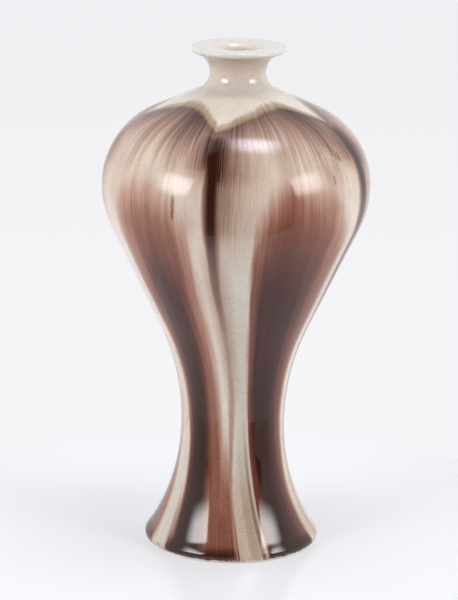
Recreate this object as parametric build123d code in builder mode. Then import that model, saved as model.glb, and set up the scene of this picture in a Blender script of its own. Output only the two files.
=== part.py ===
from build123d import *

import os
from collections import namedtuple
from math import asin, atan2, cos, radians, sin, tan

# A meiping vase. Four thrown clay sections are luted together with slip, an ivory glaze covers the outside,
# the lip and the throat, and five brown glaze runs flow over the ivory from the shoulder to the foot.
# Millimetres. The origin is on the vase's axis at the ground, +Z is up and -Y is the front.

# Outside of the ivory glaze, at the five heights where the wall stands upright
overall_height = 300.0
foot_radius = 51.8
foot_band = 3.0  # upright band between the ground and the flare
waist_radius = 30.9
waist_height = 73.0
belly_radius = 79.0
shoulder_rise = 65.8  # from the belly up to the neck's narrowest place
neck_radius = 16.5
neck_drop = 15.8  # from the top of the lip down to the neck's narrowest place
lip_radius = 27.9
lip_thickness = 3.6

# How the wall swings from one upright height to the next
foot_arc = 4.0
belly_arc = 56.9
neck_arc = 10.3
flank_fullness = 0.40  # 0 is a straight cone, 1 is two arcs with no straight between them
shoulder_fullness = 0.50

# Clay and glaze
clay_wall = 4.3
glaze = 0.5
bare_band = 1.2  # wiped clay that shows below the glaze
throat_round = 7.0
floor_height = 12.0
floor_round = 6.0
foot_ring_width = 5.0
foot_ring_bevel = 0.6
base_recess = 4.0

# Luted joints between the clay sections
slip = 0.6
tongue = 3.0

# Brown glaze runs, each a hood on the shoulder that narrows to a stream
run_thickness = 0.35
hood_top_drop = 15.0  # from the neck's narrowest place down to the top of a hood
hood_side_drop = 30.0  # and down to the top of its sides
hood_base_drop = 54.0  # and down to where its sides start to draw in
stream_drop = 82.0  # and down to where it has narrowed to its stream
stream_end = 6.5  # height of a stream's end above the ground
hood_round = 8.0
Run = namedtuple("Run", "azimuth hood_half_angle stream_half_angle drift_angle")  # degrees round the vase
runs = {
    "front_left": Run(azimuth=-47, hood_half_angle=34, stream_half_angle=20, drift_angle=25),
    "front_right": Run(azimuth=31, hood_half_angle=38, stream_half_angle=24, drift_angle=17),
    "right_back": Run(azimuth=107, hood_half_angle=34, stream_half_angle=22, drift_angle=19),
    "back": Run(azimuth=178, hood_half_angle=34, stream_half_angle=24, drift_angle=14),
    "left_back": Run(azimuth=-115, hood_half_angle=30, stream_half_angle=18, drift_angle=24),
}

# Worked out from the sizes above
Station = namedtuple("Station", "radius height")
neck_height = overall_height - neck_drop
foot = Station(foot_radius, foot_band)
waist = Station(waist_radius, waist_height)
belly = Station(belly_radius, neck_height - shoulder_rise)
neck = Station(neck_radius, neck_height)
lip = Station(lip_radius, overall_height - lip_thickness / 2)
wall = glaze + clay_wall
throat = neck_radius - wall - glaze
foot_ring_inner = foot_radius - glaze - foot_ring_width
reach = overall_height + belly_radius  # past the vase on every side


# A swing joins two upright stations by an arc at each end. Its lean and its arcs are positive where the
# wall widens upwards and negative where it narrows.
Swing = namedtuple("Swing", "lower upper lean lower_arc upper_arc straight")


def swing(lower, upper, fullness=1.0, lower_arc=None, upper_arc=None):
    """The swing between two stations with one of its two arcs given: the other takes what is left."""
    widening = upper.radius - lower.radius
    rise = upper.height - lower.height
    side = 1 if widening > 0 else -1
    lean = atan2(widening, rise) * (1 + fullness)
    both_arcs = (rise * tan(lean) - widening) / (1 / cos(lean) - 1)
    lower_arc = both_arcs - upper_arc * side if lower_arc is None else lower_arc * side
    return Swing(lower, upper, lean, lower_arc, both_arcs - lower_arc, fullness < 1)


foot_swing = swing(foot, waist, lower_arc=foot_arc)
flank = swing(waist, belly, flank_fullness, upper_arc=belly_arc)
shoulder_swing = swing(belly, neck, shoulder_fullness, upper_arc=neck_arc)
lip_swing = swing(neck, lip, upper_arc=lip_thickness / 2)


def arc_points(radius, height, arc, lean):
    """Start, middle and end of an arc that starts upright and turns to the lean."""
    turns = (0, lean / 2, lean)
    return [(radius + arc * (1 - cos(turn)), height + arc * sin(turn)) for turn in turns]


def draw_swing(curve, inset):
    """Draw a swing moved into the wall by an inset, and return the points where it starts and ends."""
    lower, upper = curve.lower, curve.upper
    start = arc_points(lower.radius - inset, lower.height, curve.lower_arc + inset, curve.lean)
    end = arc_points(upper.radius - inset, upper.height, inset - curve.upper_arc, curve.lean)
    ThreePointArc(*start)
    if curve.straight:
        Line(start[-1], end[-1])
    ThreePointArc(*end)
    return start[0], end[0]


def draw_quarter(radius, height, arc, first):
    """Draw a quarter circle about a point, from a first direction in degrees, and return its ends."""
    turns = [radians(first + turn) for turn in (0, 45, 90)]
    points = [(radius + arc * cos(turn), height + arc * sin(turn)) for turn in turns]
    ThreePointArc(*points)
    return points[0], points[-1]


def wall_radius(height):
    """Outside radius of the ivory glaze at a height between the foot and the neck."""
    curve = next(c for c in (foot_swing, flank, shoulder_swing) if height <= c.upper.height)
    lower, upper = curve.lower, curve.upper
    rise = height - lower.height
    fall = upper.height - height
    lower_rise = curve.lower_arc * sin(curve.lean)
    if rise <= lower_rise:
        return lower.radius + curve.lower_arc * (1 - cos(asin(rise / curve.lower_arc)))
    if fall <= curve.upper_arc * sin(curve.lean):
        return upper.radius - curve.upper_arc * (1 - cos(asin(fall / curve.upper_arc)))
    lower_widening = curve.lower_arc * (1 - cos(curve.lean))
    return lower.radius + lower_widening + (rise - lower_rise) * tan(curve.lean)


# Half sections of the vase, with x as the radius and y as the height


def body_face(inset, mode=Mode.ADD):
    """The outside from the ground to the neck, filled to the axis."""
    with BuildLine() as outline:
        foot_start, _ = draw_swing(foot_swing, inset)
        draw_swing(flank, inset)
        _, neck_end = draw_swing(shoulder_swing, inset)
        Polyline(neck_end, (0, neck_height), (0, 0), (foot_start[0], 0), foot_start)
    make_face(outline.edges(), mode=mode)


def lip_face(inset, mode=Mode.ADD):
    """The neck and lip above the neck's narrowest place, round the open throat."""
    lip_round = lip_thickness / 2
    with BuildLine() as outline:
        neck_start, _ = draw_swing(lip_swing, inset)
        _, lip_top = draw_quarter(lip_radius - lip_round, lip.height, lip_round - inset, 0)
        throat_edge = (throat + throat_round, overall_height - throat_round)
        throat_top, throat_start = draw_quarter(*throat_edge, throat_round - inset, 90)
        Line(lip_top, throat_top)
        Polyline(throat_start, (throat + inset, neck_height), neck_start)
    make_face(outline.edges(), mode=mode)


def below_joint(station, gap, mode):
    """All that lies below the stepped joint line at a station, with the line moved across by a gap."""
    step = station.radius - glaze - clay_wall / 2 + gap
    outer = station.height - tongue / 2 + gap
    inner = station.height + tongue / 2 + gap
    with BuildLine() as outline:
        ground = [(0, -reach), (reach, -reach)]
        Polyline(*ground, (reach, outer), (step, outer), (step, inner), (0, inner), close=True)
    make_face(outline.edges(), mode=mode)


with BuildSketch() as cavity:
    # the hollow follows the outside at an even wall, from the throat down to a rounded floor
    flare = wall - foot_swing.upper_arc
    floor_turn = asin((floor_height - waist_height) / flare)
    with BuildLine():
        inner_flare = arc_points(waist_radius - wall, waist_height, flare, floor_turn)
        ThreePointArc(*inner_flare)
        draw_swing(flank, wall)
        _, throat_end = draw_swing(shoulder_swing, wall)
        Polyline(throat_end, (0, neck_height), (0, floor_height), inner_flare[-1])
    make_face()
    fillet(cavity.vertices().group_by(Axis.Y)[0].sort_by(Axis.X)[-1], floor_round)

with BuildSketch() as clay:
    body_face(glaze)
    Rectangle(2 * foot_ring_inner, 2 * base_recess, mode=Mode.SUBTRACT)
    chamfer(clay.vertices().group_by(Axis.Y)[0], foot_ring_bevel)
    add(cavity.sketch, mode=Mode.SUBTRACT)
    lip_face(glaze)

os.makedirs("parts", exist_ok=True)

# Clay sections

with BuildPart() as foot_section:
    with BuildSketch(Plane.XZ):
        add(clay.sketch)
        below_joint(waist, -slip / 2, Mode.INTERSECT)
    revolve(axis=Axis.Z)
foot_section.part.label = "foot_section"
export_step(foot_section.part, "parts/foot_section.step")

with BuildPart() as lower_body:
    with BuildSketch(Plane.XZ):
        add(clay.sketch)
        below_joint(belly, -slip / 2, Mode.INTERSECT)
        below_joint(waist, slip / 2, Mode.SUBTRACT)
    revolve(axis=Axis.Z)
lower_body.part.label = "lower_body"
export_step(lower_body.part, "parts/lower_body.step")

with BuildPart() as shoulder:
    with BuildSketch(Plane.XZ):
        add(clay.sketch)
        below_joint(neck, -slip / 2, Mode.INTERSECT)
        below_joint(belly, slip / 2, Mode.SUBTRACT)
    revolve(axis=Axis.Z)
shoulder.part.label = "shoulder"
export_step(shoulder.part, "parts/shoulder.step")

with BuildPart() as neck_and_lip:
    with BuildSketch(Plane.XZ):
        add(clay.sketch)
        below_joint(neck, slip / 2, Mode.SUBTRACT)
    revolve(axis=Axis.Z)
neck_and_lip.part.label = "neck_and_lip"
export_step(neck_and_lip.part, "parts/neck_and_lip.step")

# Slip in the luted joints

for place, station in {"waist": waist, "belly": belly, "neck": neck}.items():
    with BuildPart() as slip_joint:
        with BuildSketch(Plane.XZ):
            add(clay.sketch)
            below_joint(station, slip / 2, Mode.INTERSECT)
            below_joint(station, -slip / 2, Mode.SUBTRACT)
        revolve(axis=Axis.Z)
    slip_joint.part.label = f"{place}_slip"
    export_step(slip_joint.part, f"parts/{place}_slip.step")

# Glazes

with BuildPart() as ivory_glaze:
    with BuildSketch(Plane.XZ):
        body_face(0)
        lip_face(0)
        body_face(glaze, Mode.SUBTRACT)
        lip_face(glaze, Mode.SUBTRACT)
        Rectangle(2 * reach, 2 * bare_band, mode=Mode.SUBTRACT)
    revolve(axis=Axis.Z)
ivory_glaze.part.label = "ivory_glaze"
export_step(ivory_glaze.part, "parts/ivory_glaze.step")

with BuildPart() as base_glaze:
    with BuildSketch(Plane.XY.offset(base_recess - glaze)):
        Circle(foot_ring_inner)
    extrude(amount=glaze)
base_glaze.part.label = "base_glaze"
export_step(base_glaze.part, "parts/base_glaze.step")


def run_edge(run, side):
    """Where one edge of a run lies, seen facing it: two places on its hood, then three down its stream."""
    stream_top = neck_height - stream_drop
    places = [
        (neck_height - hood_side_drop, side * run.hood_half_angle),
        (neck_height - hood_base_drop, side * run.hood_half_angle),
        (stream_top, side * run.stream_half_angle),
        ((stream_top + stream_end) / 2, run.drift_angle / 2 + side * run.stream_half_angle),
        (stream_end, run.drift_angle + side * run.stream_half_angle),
    ]
    return [(wall_radius(height) * sin(radians(turn)), height) for height, turn in places]


for place, run in runs.items():
    azimuth = radians(run.azimuth)
    outward = Vector(sin(azimuth), -cos(azimuth), 0)
    across = Vector(cos(azimuth), sin(azimuth), 0)
    with BuildPart() as brown_run:
        with BuildSketch(Plane(origin=(0, 0, 0), x_dir=across * -1, z_dir=outward * -1)):
            body_face(-run_thickness)
            body_face(0, Mode.SUBTRACT)
        revolve(axis=Axis.Z, revolution_arc=180)
        with BuildSketch(Plane(origin=(0, 0, 0), x_dir=across, z_dir=outward)) as outline:
            with BuildLine():
                edges = [run_edge(run, side) for side in (-1, 1)]
                for edge in edges:
                    Polyline(*edge[:3])
                    ThreePointArc(*edge[2:])
                ThreePointArc(edges[0][0], (0, neck_height - hood_top_drop), edges[1][0])
                Line(edges[0][-1], edges[1][-1])
            make_face()
            fillet(outline.vertices().group_by(Axis.Y)[1:], hood_round)
        extrude(amount=reach, mode=Mode.INTERSECT)
    brown_run.part.label = f"brown_run_{place}"
    export_step(brown_run.part, f"parts/brown_run_{place}.step")
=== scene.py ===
"""A meiping vase: the packed clay model dressed in ivory glaze with five brown runs, in a small studio.

Blender's lengths are metres. Fields and formulas that are in millimetres or degrees say so in their class.
The origin is on the vase's axis at the ground, +Z is up and -Y is the front. Azimuths count from the front,
with + towards +X.
"""

import logging
import math
from dataclasses import dataclass
from enum import Enum
from typing import Sequence, Union

import bpy
from mathutils import Matrix, Vector


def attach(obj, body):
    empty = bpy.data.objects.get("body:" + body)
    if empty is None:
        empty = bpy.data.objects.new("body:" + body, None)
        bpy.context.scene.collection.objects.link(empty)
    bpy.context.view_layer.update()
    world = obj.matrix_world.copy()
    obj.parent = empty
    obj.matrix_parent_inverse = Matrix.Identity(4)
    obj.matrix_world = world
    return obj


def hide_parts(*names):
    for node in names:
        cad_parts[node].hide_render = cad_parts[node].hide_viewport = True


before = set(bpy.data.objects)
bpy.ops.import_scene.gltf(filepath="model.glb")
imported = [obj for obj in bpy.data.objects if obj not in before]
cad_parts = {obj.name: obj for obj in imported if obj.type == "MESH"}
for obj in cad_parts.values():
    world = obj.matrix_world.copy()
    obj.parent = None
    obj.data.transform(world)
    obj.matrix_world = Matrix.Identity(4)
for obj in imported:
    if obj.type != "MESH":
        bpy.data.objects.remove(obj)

LOG = logging.getLogger("meiping_vase")
MM = 0.001
# Points nearer than this many millimetres are one.
SAME_POINT = 0.02
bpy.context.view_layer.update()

Point = tuple[float, float]
Colour = tuple[int, int, int]
Stops = Sequence[tuple[float, Colour]]


def shade(red: int, green: int, blue: int) -> tuple[float, float, float, float]:
    """Turn a colour as seen on a screen into the linear colour that a node takes.

    Args:
        red: red from 0 to 255.
        green: green from 0 to 255.
        blue: blue from 0 to 255.

    Returns:
        The linear colour with full alpha.
    """
    linear = []
    for level in (red, green, blue):
        part = level / 255
        linear.append(part / 12.92 if part <= 0.04045 else ((part + 0.055) / 1.055) ** 2.4)
    return (linear[0], linear[1], linear[2], 1.0)


def dimmed(colour: Colour, part: float) -> Colour:
    """A screen colour with each of its levels cut to a part of itself."""
    red, green, blue = (int(level * part) for level in colour)
    return red, green, blue


def eased(part: float) -> float:
    """A part from 0 to 1 with a slow start and a slow end."""
    return part * part * (3 - 2 * part)


class Slot(Enum):
    """The record's ivory glaze slot, which no piece here is given."""

    IVORY = "ivory_glaze"


class SeenBy(Enum):
    """Which rays a lamp is there for."""

    LIGHT = "light"
    REFLECTION = "reflection"


@dataclass(frozen=True)
class Signal:
    """A number that a node gives at each place of a surface, so that a finish reads as a formula.

    Attributes:
        graph: the graph that the node belongs to.
        socket: the node's output.
    """

    graph: "NodeGraph"
    socket: bpy.types.NodeSocket

    def __add__(self, other: "Number") -> "Signal":
        """This number plus another."""
        return self.graph.math("ADD", self, other)

    def __sub__(self, other: "Number") -> "Signal":
        """This number less another."""
        return self.graph.math("SUBTRACT", self, other)

    def __rsub__(self, other: "Number") -> "Signal":
        """Another number less this one."""
        return self.graph.math("SUBTRACT", other, self)

    def __mul__(self, other: "Number") -> "Signal":
        """This number times another."""
        return self.graph.math("MULTIPLY", self, other)

    def __truediv__(self, other: "Number") -> "Signal":
        """This number divided by another."""
        return self.graph.math("DIVIDE", self, other)

    def power(self, exponent: float) -> "Signal":
        """This number raised to a power."""
        return self.graph.math("POWER", self, exponent)

    def size(self) -> "Signal":
        """This number without its sign."""
        return self.graph.math("ABSOLUTE", self)

    def at_least(self, other: "Number") -> "Signal":
        """The larger of this number and another."""
        return self.graph.math("MAXIMUM", self, other)

    def at_most(self, other: "Number") -> "Signal":
        """The smaller of this number and another."""
        return self.graph.math("MINIMUM", self, other)

    def rise(self, low: "Number", high: "Number") -> "Signal":
        """A soft step from 0 where this number is low to 1 where it is high."""
        return self.graph.soft_step(self, low, high)

    def fall(self, low: "Number", high: "Number") -> "Signal":
        """A soft step from 1 where this number is low to 0 where it is high."""
        return 1.0 - self.graph.soft_step(self, low, high)

    def decay(self, reach: "Number") -> "Signal":
        """1 where this number is 0 or less, dying away over a reach above that."""
        return self.graph.math("EXPONENT", self.at_least(0.0) / reach * -1.0)


Number = Union[Signal, float]


class NodeGraph:
    """The nodes of one material, lamp or world, put together from formulas."""

    def __init__(self, owner: Union[bpy.types.Material, bpy.types.Light, bpy.types.World]) -> None:
        """Start with no nodes.

        Args:
            owner: the material, lamp or world that the nodes are for.
        """
        owner.use_nodes = True
        self.owner = owner
        self.nodes = owner.node_tree.nodes
        self.links = owner.node_tree.links
        self.nodes.clear()

    @classmethod
    def of_material(cls, name: str) -> "NodeGraph":
        """Start a new material.

        Args:
            name: the material's name.

        Returns:
            Its empty graph.
        """
        return cls(bpy.data.materials.new(name))

    def node(self, kind: str, **settings: object) -> bpy.types.Node:
        """Add a node and set its options.

        Args:
            kind: Blender's name of the node type.
            settings: options of the node by name.

        Returns:
            The new node.
        """
        added = self.nodes.new(kind)
        for option, value in settings.items():
            setattr(added, option, value)
        return added

    def feed(self, socket: bpy.types.NodeSocket, value: object) -> None:
        """Link a signal or an output to an input, or set the input to a plain value.

        Args:
            socket: the input.
            value: a signal, an output socket or a plain value.
        """
        if isinstance(value, Signal):
            self.links.new(value.socket, socket)
        elif isinstance(value, bpy.types.NodeSocket):
            self.links.new(value, socket)
        else:
            socket.default_value = value

    def math(self, operation: str, *values: Number) -> Signal:
        """One step of arithmetic.

        Args:
            operation: Blender's name of the operation.
            values: the numbers that it takes.

        Returns:
            The result.
        """
        step = self.node("ShaderNodeMath", operation=operation)
        for socket, value in zip(step.inputs, values):
            self.feed(socket, value)
        return Signal(self, step.outputs[0])

    def soft_step(self, value: Number, low: Number, high: Number) -> Signal:
        """A soft step from 0 at low to 1 at high.

        Args:
            value: the number that is tested.
            low: where the step starts.
            high: where it ends.

        Returns:
            The step, from 0 to 1.
        """
        step = self.node("ShaderNodeMapRange", interpolation_type="SMOOTHSTEP", clamp=True)
        self.feed(step.inputs["Value"], value)
        self.feed(step.inputs["From Min"], low)
        self.feed(step.inputs["From Max"], high)
        return Signal(self, step.outputs["Result"])

    def curve(self, value: Number, points: Sequence[Point], straight: bool = False) -> Signal:
        """A drawn curve over a number from 0 to 1.

        Args:
            value: the number to look up.
            points: the curve's points from left to right.
            straight: whether the curve runs straight between its points.

        Returns:
            The curve's height.
        """
        drawn = self.node("ShaderNodeFloatCurve")
        line = drawn.mapping.curves[0]
        while len(line.points) < len(points):
            line.points.new(0.5, 0.5)
        for spot, place in zip(line.points, points):
            spot.location = place
            spot.handle_type = "VECTOR" if straight else "AUTO_CLAMPED"
        drawn.mapping.update()
        self.feed(drawn.inputs["Value"], value)
        return Signal(self, drawn.outputs["Value"])

    def vector(self, x: Number, y: Number, z: Number) -> bpy.types.NodeSocket:
        """Three numbers as one vector.

        Args:
            x: first number.
            y: second number.
            z: third number.

        Returns:
            The vector output.
        """
        joined = self.node("ShaderNodeCombineXYZ")
        for socket, value in zip(joined.inputs, (x, y, z)):
            self.feed(socket, value)
        return joined.outputs[0]

    def noise(
        self, place: bpy.types.NodeSocket, scale: float, detail: float = 2.0, rough: float = 0.5
    ) -> Signal:
        """Cloudy noise, about 0.5 on average.

        Args:
            place: where the noise is read.
            scale: how many clouds there are to a unit.
            detail: how many finer layers it has.
            rough: how strong the finer layers are.

        Returns:
            The noise, from 0 to 1.
        """
        cloud = self.node("ShaderNodeTexNoise", noise_dimensions="3D")
        self.feed(cloud.inputs["Vector"], place)
        cloud.inputs["Scale"].default_value = scale
        cloud.inputs["Detail"].default_value = detail
        cloud.inputs["Roughness"].default_value = rough
        return Signal(self, cloud.outputs[0])

    def cracks(self, place: bpy.types.NodeSocket, scale: float) -> Signal:
        """Distance from the nearest line of a net of cells.

        Args:
            place: where the net is read.
            scale: how many cells there are to a unit.

        Returns:
            The distance, 0 on a line.
        """
        net = self.node("ShaderNodeTexVoronoi", feature="DISTANCE_TO_EDGE")
        self.feed(net.inputs["Vector"], place)
        net.inputs["Scale"].default_value = scale
        return Signal(self, net.outputs["Distance"])

    def ramp(self, value: Number, stops: Stops) -> bpy.types.NodeSocket:
        """Colours along a number from 0 to 1.

        Args:
            value: the number.
            stops: places along it, each with a screen colour.

        Returns:
            The colour output.
        """
        band = self.node("ShaderNodeValToRGB")
        elements = band.color_ramp.elements
        while len(elements) < len(stops):
            elements.new(0.5)
        for element, (place, colour) in zip(elements, stops):
            element.position = place
            element.color = shade(*colour)
        self.feed(band.inputs["Fac"], value)
        return band.outputs["Color"]

    def blend(self, amount: Number, under: object, over: object, mode: str = "MIX") -> bpy.types.NodeSocket:
        """One colour over another.

        Args:
            amount: how much of the upper colour shows.
            under: the lower colour, an output or four numbers.
            over: the upper colour, an output or four numbers.
            mode: Blender's name of the way they mix.

        Returns:
            The colour output.
        """
        mixed = self.node("ShaderNodeMix", data_type="RGBA", blend_type=mode, clamp_factor=True)
        self.feed(mixed.inputs[0], amount)
        self.feed(mixed.inputs[6], under)
        self.feed(mixed.inputs[7], over)
        return mixed.outputs[2]

    def bump(self, height: Signal) -> bpy.types.NodeSocket:
        """A surface normal that follows a height in millimetres.

        Args:
            height: the height above the surface.

        Returns:
            The normal output.
        """
        relief = self.node("ShaderNodeBump")
        relief.inputs["Strength"].default_value = 1.0
        relief.inputs["Distance"].default_value = MM
        self.feed(relief.inputs["Height"], height)
        return relief.outputs["Normal"]

    def emission(self, colour: object, strength: Number = 1.0) -> bpy.types.NodeSocket:
        """A glow.

        Args:
            colour: its colour, an output or four numbers.
            strength: its strength.

        Returns:
            The shader's output.
        """
        glow = self.node("ShaderNodeEmission")
        self.feed(glow.inputs["Color"], colour)
        self.feed(glow.inputs["Strength"], strength)
        return glow.outputs[0]

    def close(self, shader: bpy.types.NodeSocket, kind: str = "ShaderNodeOutputMaterial") -> None:
        """Link the last shader to the graph's output.

        Args:
            shader: the shader's output.
            kind: Blender's name of the output node's type.
        """
        self.links.new(shader, self.node(kind).inputs["Surface"])

    def partly_lit(self, even: bpy.types.NodeSocket, lit: bpy.types.NodeSocket, share: Number) -> None:
        """Finish the material with an even colour and a share of a shader that takes light.

        Args:
            even: the even colour.
            lit: output of the shader that takes light.
            share: how much of it shows.
        """
        mixed = self.node("ShaderNodeMixShader")
        self.feed(mixed.inputs[0], share)
        self.links.new(self.emission(even), mixed.inputs[1])
        self.links.new(lit, mixed.inputs[2])
        self.close(mixed.outputs[0])

    def surface(
        self, colour: bpy.types.NodeSocket, roughness: Number, ior: Number, normal: bpy.types.NodeSocket
    ) -> bpy.types.Material:
        """Finish the material with one shader.

        Args:
            colour: base colour.
            roughness: roughness.
            ior: index of refraction.
            normal: surface normal.

        Returns:
            The finished material.
        """
        shader = self.node("ShaderNodeBsdfPrincipled")
        self.feed(shader.inputs["IOR"], ior)
        self.feed(shader.inputs["Base Color"], colour)
        self.feed(shader.inputs["Roughness"], roughness)
        self.feed(shader.inputs["Normal"], normal)
        self.close(shader.outputs["BSDF"])
        return self.owner

    def place_mm(self) -> tuple[bpy.types.NodeSocket, Signal, Signal, Signal]:
        """The object's own coordinates in millimetres.

        Returns:
            The vector and its x, y and z.
        """
        coordinates = self.node("ShaderNodeTexCoord")
        scaled = self.node("ShaderNodeVectorMath", operation="SCALE")
        self.links.new(coordinates.outputs["Object"], scaled.inputs[0])
        scaled.inputs["Scale"].default_value = 1 / MM
        split = self.node("ShaderNodeSeparateXYZ")
        self.links.new(scaled.outputs[0], split.inputs[0])
        x, y, z = (Signal(self, socket) for socket in split.outputs)
        return scaled.outputs[0], x, y, z

    def azimuth(self, x: Signal, y: Signal) -> Signal:
        """Direction of a place round the axis, in degrees from the front."""
        return self.math("DEGREES", self.math("ARCTAN2", x, y * -1.0))

    def from_axis(self, x: Signal, y: Signal) -> Signal:
        """Distance of a place from the axis."""
        return self.math("SQRT", x * x + y * y)


@dataclass(frozen=True)
class BiscuitClay:
    """Bare fired clay: cream, with fine grog and a warmer tint where it meets the glaze.

    Attributes:
        name: the material's name.
        colour: screen colour of the clay.
        stain: screen colour of the tint beside the glaze.
        glaze_edge: height of the glaze's lower edge in millimetres.
    """

    name: str = "biscuit_clay"
    colour: Colour = (238, 230, 218)
    stain: Colour = (206, 178, 150)
    glaze_edge: float = 1.2

    def material(self) -> bpy.types.Material:
        """Make the material.

        Returns:
            The finished material.
        """
        graph = NodeGraph.of_material(self.name)
        place, _, _, z = graph.place_mm()
        cloud = graph.noise(place, 0.09, 4.0)
        grain = graph.noise(place, 2.2, 3.0, 0.65)
        edge = self.glaze_edge
        warm = z.rise(edge - 0.9, edge) * z.fall(edge + 4, edge + 9)
        stops = [(0.34, dimmed(self.colour, 0.86)), (0.66, self.colour)]
        colour = graph.ramp(cloud * 0.6 + grain * 0.4, stops)
        colour = graph.blend(warm * 0.55 * grain.rise(0.3, 0.7), colour, shade(*self.stain))
        normal = graph.bump(grain * 0.10 + cloud * 0.15)
        return graph.surface(colour, grain * 0.2 + 0.68, 1.45, normal)


@dataclass(frozen=True)
class PlainGlaze:
    """Ivory glaze with no runs, as in the recessed base.

    Attributes:
        name: the material's name.
        colour: screen colour of the glaze.
    """

    name: str = "base_ivory_glaze"
    colour: Colour = (219, 212, 201)

    def material(self) -> bpy.types.Material:
        """Make the material.

        Returns:
            The finished material.
        """
        graph = NodeGraph.of_material(self.name)
        place, _, _, _ = graph.place_mm()
        cloud = graph.noise(place, 0.05, 3.0)
        speck = graph.noise(place, 1.4, 2.0)
        stops = [(0.35, dimmed(self.colour, 0.88)), (0.62, self.colour)]
        colour = graph.ramp(cloud * 0.7 + speck * 0.3, stops)
        normal = graph.bump(cloud * 0.25 + speck * 0.02)
        return graph.surface(colour, cloud * 0.06 + 0.05, 1.5, normal)


@dataclass(frozen=True)
class Stream:
    """Where one brown run lies below its hood, in degrees round the vase before the glaze drifts.

    Attributes:
        left: left edge under the hood and at the foot.
        right: right edge under the hood, at the waist and at the foot.
        core_left: left edge of the dark core under the hood and at the foot.
        core_right: right edge of the dark core under the hood and at the foot.
        crest: where it starts highest.
        soft: how far the left edge, the right edge and the core's left and right edges are blurred.
        edge_iron: iron outside the core, under the hood and at the foot.
        core_top: height where the core starts, in millimetres.
    """

    left: tuple[float, float]
    right: tuple[float, float, float]
    core_left: tuple[float, float]
    core_right: tuple[float, float]
    crest: float
    soft: tuple[float, float, float, float] = (3.0, 6.0, 6.0, 8.0)
    edge_iron: tuple[float, float] = (0.44, 0.60)
    core_top: float = 224.0


@dataclass(frozen=True)
class Seam:
    """Where two hoods meet.

    Attributes:
        azimuth: where it lies, in degrees.
        iron: how dark the glaze is along it.
        width: how wide the dark streak below it is, 0.5 for 2.7 degrees to each side.
        flank: how far the streaky flanks beside it reach, in degrees.
        length: how much further down the dark streak reaches than the front one does, in millimetres.
        skew: where the hood to its right is highest, 0 at its left, 0.5 in the middle.
    """

    azimuth: float
    iron: float
    width: float
    flank: float
    length: float
    skew: float


@dataclass(frozen=True)
class Trickle:
    """A thin streak or a wash from a height down to the foot.

    Attributes:
        flow: angle round the vase before the glaze drifts, in degrees.
        half: half of its width in degrees.
        top: height where it starts, in millimetres.
        iron: how much iron it holds, or how grey it is.
    """

    flow: float
    half: float
    top: float
    iron: float


@dataclass(frozen=True)
class MarkOrShade:
    """A dark mark in the glaze, or a faint patch of painted shade.

    Attributes:
        turn: angle round the vase before the glaze drifts, in degrees.
        low: height of its lower end, in millimetres.
        high: height of its upper end.
        half: half of its width in degrees.
        iron: how much iron it holds, or how dark its painted shade is.
    """

    turn: float
    low: float
    high: float
    half: float
    iron: float


@dataclass(frozen=True)
class GlazeFlow:
    """What the glaze's formulas share at each place of the coat.

    Attributes:
        graph: the material's graph.
        place: place in millimetres.
        away: distance from the axis in millimetres.
        z: height in millimetres.
        turn: angle round the vase before the glaze drifts, in degrees.
        fine: fine streaks along the flow.
        middle: broader streaks.
        broad: wide bands.
        cloud: soft clouds.
        grain: fine grain.
    """

    graph: NodeGraph
    place: bpy.types.NodeSocket
    away: Signal
    z: Signal
    turn: Signal
    fine: Signal
    middle: Signal
    broad: Signal
    cloud: Signal
    grain: Signal

    @classmethod
    def start(cls, graph: NodeGraph, drift: float, drift_top: float) -> "GlazeFlow":
        """Work out the shared numbers.

        Args:
            graph: the material's graph.
            drift: how far round the glaze has drifted at the foot, in degrees.
            drift_top: height where it starts to drift, in millimetres.

        Returns:
            The shared numbers.
        """
        place, x, y, z = graph.place_mm()
        drifted = ((drift_top - z) / drift_top).at_least(0.0).power(1.3) * drift
        turn = graph.azimuth(x, y) - drifted
        sway = graph.noise(place, 0.022, 1.0) - 0.5
        angle = graph.math("RADIANS", turn + sway * 4.0)
        across = graph.math("SINE", angle) * math.degrees(1)
        along = graph.math("COSINE", angle) * math.degrees(1)
        return cls(
            graph=graph,
            place=place,
            away=graph.from_axis(x, y),
            z=z,
            turn=turn,
            fine=graph.noise(graph.vector(across * 1.7, along * 1.7, z * 0.034), 1.0, 4.0, 0.65),
            middle=graph.noise(graph.vector(across * 0.36, along * 0.36, z * 0.014 + 40.0), 1.0, 2.0),
            broad=graph.noise(graph.vector(across * 0.10, along * 0.10, z * 0.012 + 90.0), 1.0, 1.0),
            cloud=graph.noise(place, 0.035, 3.0),
            grain=graph.noise(place, 0.9, 3.0, 0.6),
        )

    def beside(self, angle: float) -> Signal:
        """How far round the vase a place is from an angle, from -180 to 180 degrees."""
        return self.graph.math("WRAP", self.turn - angle, 180.0, -180.0)


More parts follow.
